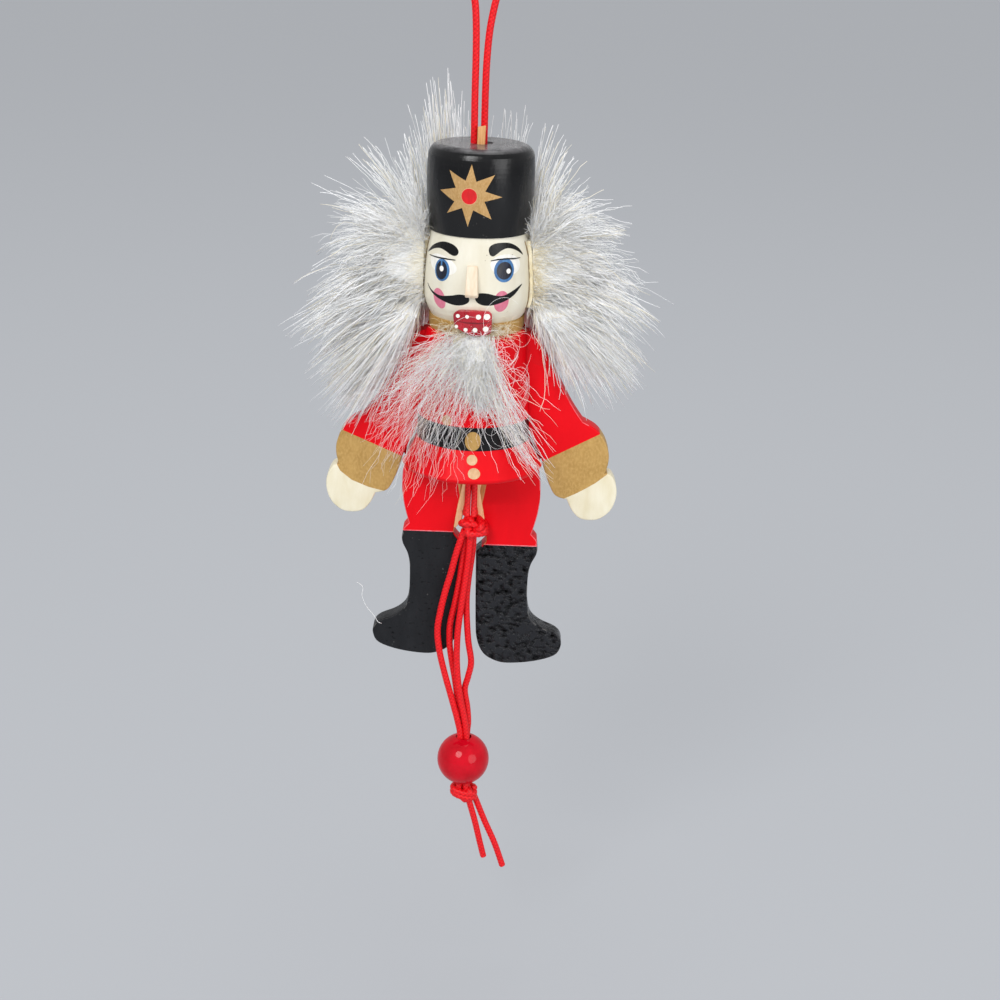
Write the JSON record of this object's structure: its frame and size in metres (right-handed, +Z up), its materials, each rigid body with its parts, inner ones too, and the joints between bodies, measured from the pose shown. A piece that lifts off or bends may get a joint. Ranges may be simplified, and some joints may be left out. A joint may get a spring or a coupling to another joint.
{
  "type": "pull string jumping jack",
  "caption": "Hanging wooden soldier jumping jack whose arms and legs swing out when the bead on its strings is pulled.",
  "frame": {"origin": "inside top of the hanger loop, where a hook bears", "axes": "+Z up along the hanging cord, the figure faces -Y, +X to the viewer's right"},
  "size_m": [0.0756, 0.0411, 0.216],
  "materials": {
    "red_lacquer": "satin red paint on turned wood",
    "cream_paint": "satin cream paint on turned wood",
    "black_lacquer": "satin black paint on turned wood",
    "bare_wood": "bare wood",
    "mouth_paint": "gloss red paint on wood",
    "painted_plywood": "satin paint on plywood",
    "backing_cloth": "knitted backing cloth",
    "white_fur": "white synthetic fur",
    "red_cord": "braided nylon cord",
    "steel_wire": "cut steel wire",
    "bead_lacquer": "gloss red lacquer on wood"
  },
  "bodies": {
    "figure": {"torso": "red_lacquer", "head": "cream_paint", "hat": "black_lacquer", "neck_dowel": "bare_wood", "hat_peg": "bare_wood", "nose": "cream_paint", "mouth_plate": "mouth_paint", "hair_band": "backing_cloth", "hair": "white_fur", "beard_patch": "backing_cloth", "beard": "white_fur", "hanger_cord": "red_cord", "shoulder_pin_left": "steel_wire", "shoulder_pin_right": "steel_wire", "hip_pin_left": "steel_wire", "hip_pin_right": "steel_wire"},
    "left_arm": {"arm_left": "painted_plywood", "arm_knot_left": "red_cord"},
    "right_arm": {"arm_right": "painted_plywood", "arm_knot_right": "red_cord"},
    "left_leg": {"leg_left": "painted_plywood", "leg_knot_left": "red_cord"},
    "right_leg": {"leg_right": "painted_plywood", "leg_knot_right": "red_cord"},
    "pull": {"arm_string_left": "red_cord", "arm_string_right": "red_cord", "leg_string_left": "red_cord", "leg_string_right": "red_cord", "crotch_knot": "red_cord", "pull_cord_1": "red_cord", "pull_cord_2": "red_cord", "pull_cord_3": "red_cord", "pull_cord_4": "red_cord", "pull_bead": "bead_lacquer", "bead_knot": "red_cord"}
  },
  "joints": [
    {"name": "pull_slide", "type": "slide", "parent": "figure", "child": "pull", "axis": [0, 0, -1], "range_m": [0, 0.00668]},
    {"name": "left_shoulder", "type": "hinge", "parent": "figure", "child": "left_arm", "pos_m": [-0.0094, 0, -0.0834], "axis": [0, 1, 0], "range_deg": [0, 80]},
    {"name": "right_shoulder", "type": "hinge", "parent": "figure", "child": "right_arm", "pos_m": [0.0094, 0, -0.0834], "axis": [0, -1, 0], "range_deg": [0, 80]},
    {"name": "left_hip", "type": "hinge", "parent": "figure", "child": "left_leg", "pos_m": [-0.0087, 0, -0.1037], "axis": [0, 1, 0], "range_deg": [0, 61]},
    {"name": "right_hip", "type": "hinge", "parent": "figure", "child": "right_leg", "pos_m": [0.0087, 0, -0.1055], "axis": [0, -1, 0], "range_deg": [0, 61]}
  ],
  "couplings": [
    {"joint": "left_shoulder", "follows": "pull_slide", "rad_per_m": 208.8},
    {"joint": "right_shoulder", "follows": "pull_slide", "rad_per_m": 208.8},
    {"joint": "left_hip", "follows": "pull_slide", "rad_per_m": 159.2},
    {"joint": "right_hip", "follows": "pull_slide", "rad_per_m": 159.2}
  ]
}
